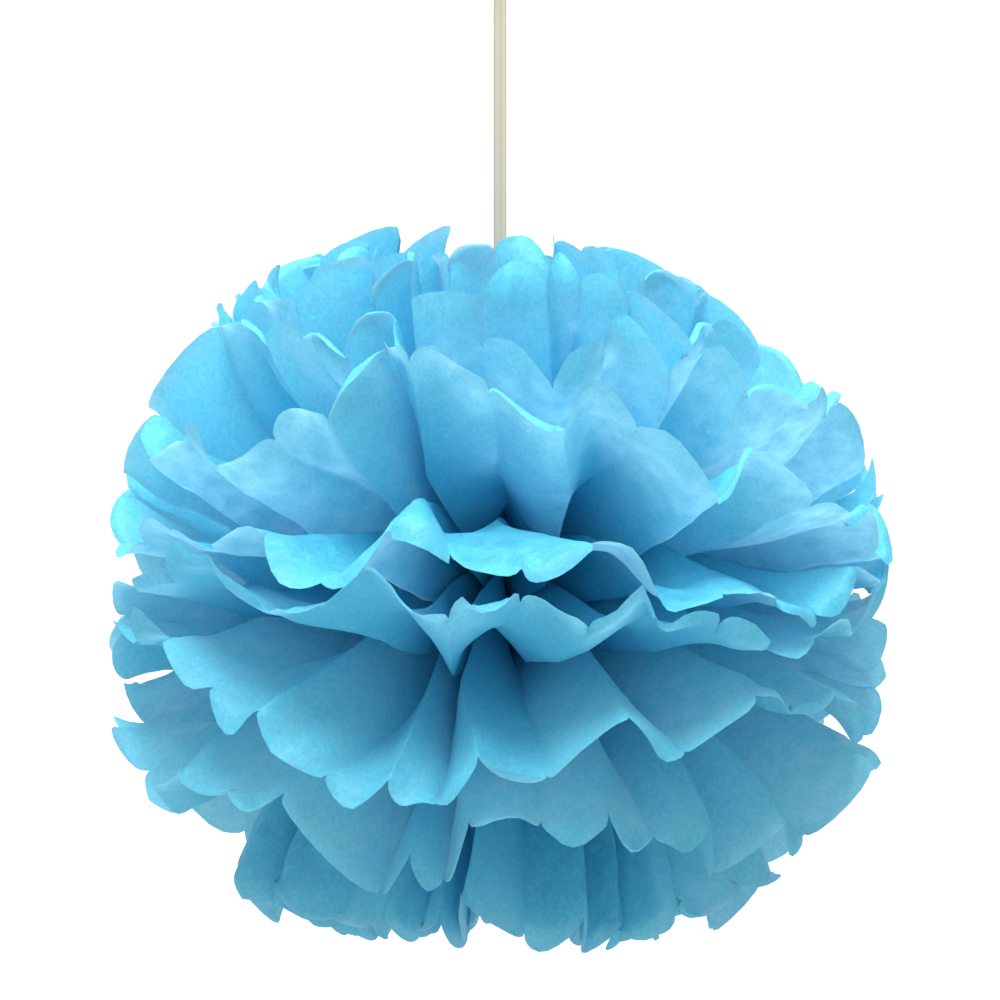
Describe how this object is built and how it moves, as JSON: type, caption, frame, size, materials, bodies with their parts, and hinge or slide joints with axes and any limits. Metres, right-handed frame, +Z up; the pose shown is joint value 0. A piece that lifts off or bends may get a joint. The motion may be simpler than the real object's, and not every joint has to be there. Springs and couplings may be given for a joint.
{
  "type": "tissue paper pom pom",
  "caption": "Round hanging decoration of pleated tissue paper sheets with scalloped ends, tied at the middle with wire and hung from a flat ribbon with a loop.",
  "frame": {"origin": "inside the top of the ribbon's hanging loop, where a hook bears", "axes": "+Z up along the ribbon, -Y towards the viewer of the picture, +X to the right; the ball's middle is 262 mm below the origin"},
  "size_m": [0.2986, 0.2962, 0.4029],
  "materials": {
    "tissue": "matt, thin, slightly see-through tissue",
    "wire": "bare florist's wire",
    "ribbon": "cream satin"
  },
  "bodies": {
    "root": {"upper_sheet_1": "tissue", "upper_sheet_2": "tissue", "upper_sheet_3": "tissue", "upper_sheet_4": "tissue", "upper_sheet_5": "tissue", "lower_sheet_1": "tissue", "lower_sheet_2": "tissue", "lower_sheet_3": "tissue", "lower_sheet_4": "tissue", "lower_sheet_5": "tissue", "tie_wire": "wire", "hanging_ribbon": "ribbon"}
  },
  "joints": []
}
